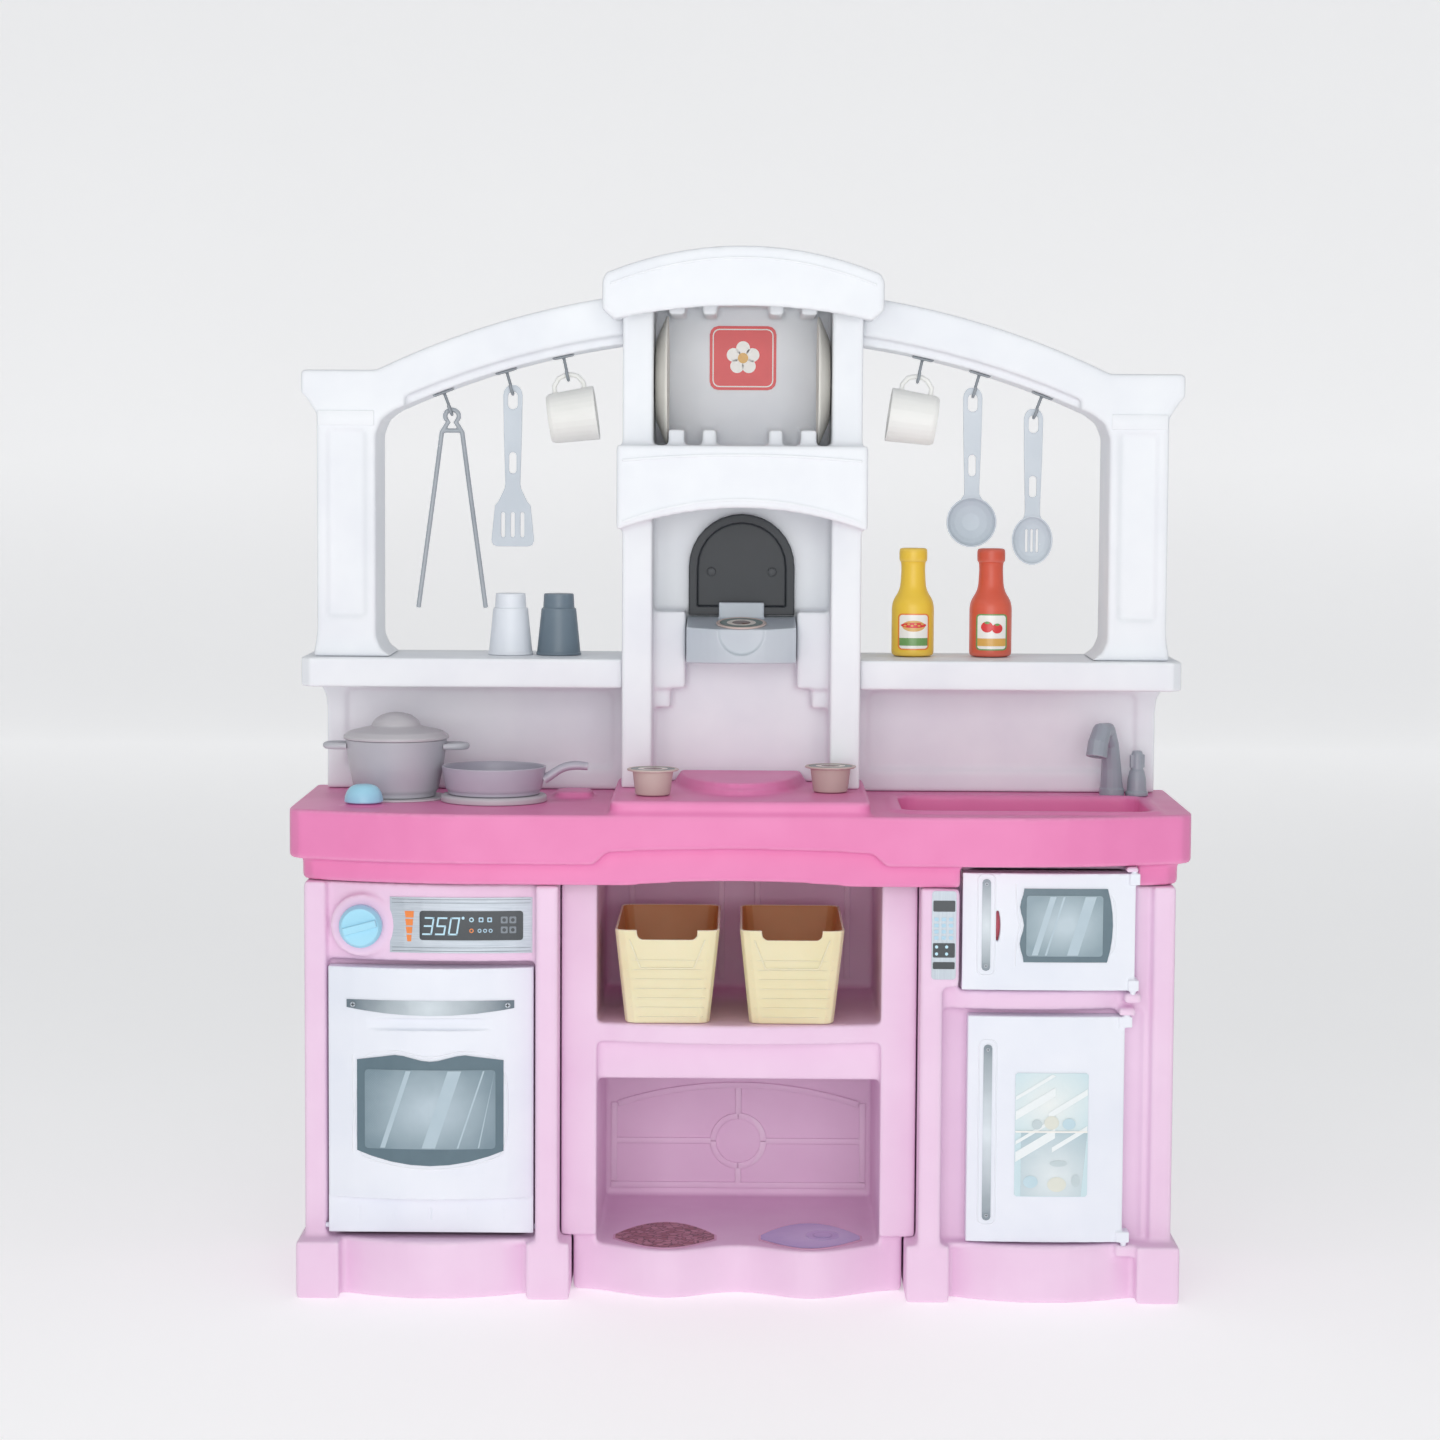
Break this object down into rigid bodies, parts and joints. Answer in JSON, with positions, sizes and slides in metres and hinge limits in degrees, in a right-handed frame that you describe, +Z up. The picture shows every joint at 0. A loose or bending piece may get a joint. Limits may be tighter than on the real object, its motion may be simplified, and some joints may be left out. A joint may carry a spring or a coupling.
{
  "type": "toy kitchen",
  "caption": "Tall play kitchen with oven, microwave, fridge, sink, hood tower, arched windows, bins and hanging utensils",
  "frame": {"origin": "on the floor, under the middle of the bounding box", "axes": "+Z up, -Y out of the front, +X to the right as seen from the front"},
  "size_m": [0.908, 0.292, 1.0566],
  "materials": {
    "left_cabinet": "pale pink rotomoulded shell, fine satin grain",
    "right_cabinet": "pale pink rotomoulded shell, fine satin grain",
    "centre_shelves": "pale pink rotomoulded shell, fine satin grain",
    "countertop": "hot pink blow-moulded shell, satin",
    "left_backsplash": "white moulded shell, satin",
    "right_backsplash": "white moulded shell, satin",
    "left_arch_frame": "white moulded shell, satin",
    "right_arch_frame": "white moulded shell, satin",
    "hood_tower": "white moulded shell, satin",
    "hood_crown": "white moulded shell, satin",
    "coffee_back": "black moulded plastic",
    "coffee_base": "silver moulded plastic",
    "burner_left": "warm silver-grey moulded plastic",
    "burner_right": "warm silver-grey moulded plastic",
    "hook_tongs": "dark silver moulded plastic",
    "hook_spatula": "dark silver moulded plastic",
    "hook_mug_left": "dark silver moulded plastic",
    "hook_mug_right": "dark silver moulded plastic",
    "hook_ladle": "dark silver moulded plastic",
    "hook_spoon": "dark silver moulded plastic",
    "oven_control_label": "silver printed label",
    "microwave_keypad_label": "silver printed label",
    "oven_handle_label": "silver printed label",
    "microwave_handle_label": "silver printed label",
    "fridge_handle_label": "silver printed label",
    "badge": "red printed label with a plain border",
    "bowl_label_left": "printed picture of a food bowl",
    "bowl_label_right": "printed picture of a water bowl",
    "oven_door": "white moulded door, satin gloss",
    "microwave_door": "white moulded door, satin gloss",
    "fridge_door": "white moulded door, satin gloss",
    "oven_window_label": "printed window label",
    "microwave_window_label": "printed window label",
    "fridge_picture_label": "printed picture of cold shelves",
    "oven_knob": "light blue moulded plastic",
    "stove_knob": "light blue moulded plastic",
    "faucet_spout": "silver moulded plastic",
    "faucet_handle": "silver moulded plastic",
    "bin_left": "translucent pale yellow moulded plastic",
    "bin_right": "translucent pale yellow moulded plastic",
    "pot": "warm silver-grey moulded plastic",
    "pot_lid": "warm silver-grey moulded plastic",
    "frying_pan": "warm silver-grey moulded plastic",
    "pod_left": "brown-grey moulded plastic",
    "pod_right": "brown-grey moulded plastic",
    "pod_in_machine": "brown-grey moulded plastic",
    "tumbler_white": "white moulded plastic",
    "tumbler_grey": "grey moulded plastic",
    "mustard_bottle": "yellow moulded plastic with a paper label",
    "ketchup_bottle": "orange-red moulded plastic with a paper label",
    "plate_left": "cream moulded plastic",
    "plate_right": "cream moulded plastic",
    "mug_left": "cream moulded plastic",
    "mug_right": "cream moulded plastic",
    "tongs": "silver-grey moulded plastic",
    "spatula": "silver-grey moulded plastic",
    "ladle": "silver-grey moulded plastic",
    "spoon": "silver-grey moulded plastic"
  },
  "bodies": {
    "kitchen": {"left_cabinet": "left_cabinet", "right_cabinet": "right_cabinet", "centre_shelves": "centre_shelves", "countertop": "countertop", "left_backsplash": "left_backsplash", "right_backsplash": "right_backsplash", "left_arch_frame": "left_arch_frame", "right_arch_frame": "right_arch_frame", "hood_tower": "hood_tower", "hood_crown": "hood_crown", "coffee_back": "coffee_back", "coffee_base": "coffee_base", "burner_left": "burner_left", "burner_right": "burner_right", "hook_tongs": "hook_tongs", "hook_spatula": "hook_spatula", "hook_mug_left": "hook_mug_left", "hook_mug_right": "hook_mug_right", "hook_ladle": "hook_ladle", "hook_spoon": "hook_spoon", "oven_control_label": "oven_control_label", "microwave_keypad_label": "microwave_keypad_label", "badge": "badge", "bowl_label_left": "bowl_label_left", "bowl_label_right": "bowl_label_right"},
    "oven_door_body": {"oven_door": "oven_door", "oven_window_label": "oven_window_label", "oven_handle_label": "oven_handle_label"},
    "microwave_door_body": {"microwave_door": "microwave_door", "microwave_window_label": "microwave_window_label", "microwave_handle_label": "microwave_handle_label"},
    "fridge_door_body": {"fridge_door": "fridge_door", "fridge_picture_label": "fridge_picture_label", "fridge_handle_label": "fridge_handle_label"},
    "oven_knob_body": {"oven_knob": "oven_knob"},
    "stove_knob_body": {"stove_knob": "stove_knob"},
    "faucet_spout_body": {"faucet_spout": "faucet_spout"},
    "faucet_handle_body": {"faucet_handle": "faucet_handle"},
    "bin_left_body": {"bin_left": "bin_left"},
    "bin_right_body": {"bin_right": "bin_right"},
    "pot_body": {"pot": "pot"},
    "pot_lid_body": {"pot_lid": "pot_lid"},
    "frying_pan_body": {"frying_pan": "frying_pan"},
    "pod_left_body": {"pod_left": "pod_left"},
    "pod_right_body": {"pod_right": "pod_right"},
    "pod_in_machine_body": {"pod_in_machine": "pod_in_machine"},
    "tumbler_white_body": {"tumbler_white": "tumbler_white"},
    "tumbler_grey_body": {"tumbler_grey": "tumbler_grey"},
    "mustard_bottle_body": {"mustard_bottle": "mustard_bottle"},
    "ketchup_bottle_body": {"ketchup_bottle": "ketchup_bottle"},
    "plate_left_body": {"plate_left": "plate_left"},
    "plate_right_body": {"plate_right": "plate_right"},
    "mug_left_body": {"mug_left": "mug_left"},
    "mug_right_body": {"mug_right": "mug_right"},
    "tongs_body": {"tongs": "tongs"},
    "spatula_body": {"spatula": "spatula"},
    "ladle_body": {"ladle": "ladle"},
    "spoon_body": {"spoon": "spoon"}
  },
  "joints": [
    {"name": "oven_door_hinge", "type": "hinge", "parent": "kitchen", "child": "oven_door_body", "pos_m": [-0.30895, -0.1035, 0.069], "axis": [1, 0, 0], "range_deg": [0, 88]},
    {"name": "microwave_door_hinge", "type": "hinge", "parent": "kitchen", "child": "microwave_door_body", "pos_m": [0.3925, -0.1265, 0.3753], "axis": [0, 0, 1], "range_deg": [0, 100]},
    {"name": "fridge_door_hinge", "type": "hinge", "parent": "kitchen", "child": "fridge_door_body", "pos_m": [0.3875, -0.1195, 0.175], "axis": [0, 0, 1], "range_deg": [0, 110]},
    {"name": "oven_knob_turn", "type": "hinge", "parent": "kitchen", "child": "oven_knob_body", "pos_m": [-0.378, -0.1175, 0.376], "axis": [0, 1, 0], "range_deg": [0, 270]},
    {"name": "stove_knob_turn", "type": "hinge", "parent": "kitchen", "child": "stove_knob_body", "pos_m": [-0.3806, -0.068, 0.4913], "axis": [0, 0, 1], "range_deg": [-135, 135]},
    {"name": "faucet_swing", "type": "hinge", "parent": "kitchen", "child": "faucet_spout_body", "pos_m": [0.39, 0.0735, 0.4913], "axis": [0, 0, 1], "range_deg": [-45, 45]},
    {"name": "faucet_handle_turn", "type": "hinge", "parent": "kitchen", "child": "faucet_handle_body", "pos_m": [0.4165, 0.0755, 0.4913], "axis": [0, 0, 1], "range_deg": [-90, 90]},
    {"name": "bin_left_slide", "type": "slide", "parent": "kitchen", "child": "bin_left_body", "axis": [0, -1, 0], "range_m": [0, 0.15]},
    {"name": "bin_right_slide", "type": "slide", "parent": "kitchen", "child": "bin_right_body", "axis": [0, -1, 0], "range_m": [0, 0.15]},
    {"name": "pot_lift", "type": "slide", "parent": "kitchen", "child": "pot_body", "axis": [0, 0, 1], "range_m": [0, 0.012]},
    {"name": "pot_lid_lift", "type": "slide", "parent": "pot_body", "child": "pot_lid_body", "axis": [0, 0, 1], "range_m": [0, 0.012]},
    {"name": "frying_pan_lift", "type": "slide", "parent": "kitchen", "child": "frying_pan_body", "axis": [0, -0.9397, 0.342], "range_m": [0, 0.05]},
    {"name": "pod_left_lift", "type": "slide", "parent": "kitchen", "child": "pod_left_body", "axis": [0, 0, 1], "range_m": [0, 0.05]},
    {"name": "pod_right_lift", "type": "slide", "parent": "kitchen", "child": "pod_right_body", "axis": [0, 0, 1], "range_m": [0, 0.05]},
    {"name": "pod_in_machine_lift", "type": "slide", "parent": "kitchen", "child": "pod_in_machine_body", "axis": [0, -0.1577, 0.9875], "range_m": [0, 0.03]},
    {"name": "tumbler_white_lift", "type": "slide", "parent": "kitchen", "child": "tumbler_white_body", "axis": [0, 0, 1], "range_m": [0, 0.04]},
    {"name": "tumbler_grey_lift", "type": "slide", "parent": "kitchen", "child": "tumbler_grey_body", "axis": [0, 0, 1], "range_m": [0, 0.04]},
    {"name": "mustard_bottle_lift", "type": "slide", "parent": "kitchen", "child": "mustard_bottle_body", "axis": [0, 0, 1], "range_m": [0, 0.05]},
    {"name": "ketchup_bottle_lift", "type": "slide", "parent": "kitchen", "child": "ketchup_bottle_body", "axis": [0, 0, 1], "range_m": [0, 0.05]},
    {"name": "plate_left_slide", "type": "slide", "parent": "kitchen", "child": "plate_left_body", "axis": [0, -1, 0], "range_m": [0, 0.12]},
    {"name": "plate_right_slide", "type": "slide", "parent": "kitchen", "child": "plate_right_body", "axis": [0, -1, 0], "range_m": [0, 0.12]},
    {"name": "mug_left_swing", "type": "hinge", "parent": "kitchen", "child": "mug_left_body", "pos_m": [-0.18161, 0.048, 0.92766], "axis": [-1, 0, 0], "range_deg": [-20, 20]},
    {"name": "mug_right_swing", "type": "hinge", "parent": "kitchen", "child": "mug_right_body", "pos_m": [0.18161, 0.048, 0.92766], "axis": [-1, 0, 0], "range_deg": [-20, 20]},
    {"name": "tongs_swing", "type": "hinge", "parent": "kitchen", "child": "tongs_body", "pos_m": [-0.30283, 0.048, 0.89137], "axis": [-1, 0, 0], "range_deg": [-15, 25]},
    {"name": "spatula_swing", "type": "hinge", "parent": "kitchen", "child": "spatula_body", "pos_m": [-0.23936, 0.048, 0.91283], "axis": [-1, 0, 0], "range_deg": [-15, 25]},
    {"name": "ladle_swing", "type": "hinge", "parent": "kitchen", "child": "ladle_body", "pos_m": [0.23936, 0.048, 0.91283], "axis": [-1, 0, 0], "range_deg": [-2, 25]},
    {"name": "spoon_swing", "type": "hinge", "parent": "kitchen", "child": "spoon_body", "pos_m": [0.30283, 0.048, 0.89137], "axis": [-1, 0, 0], "range_deg": [-12, 25]}
  ]
}
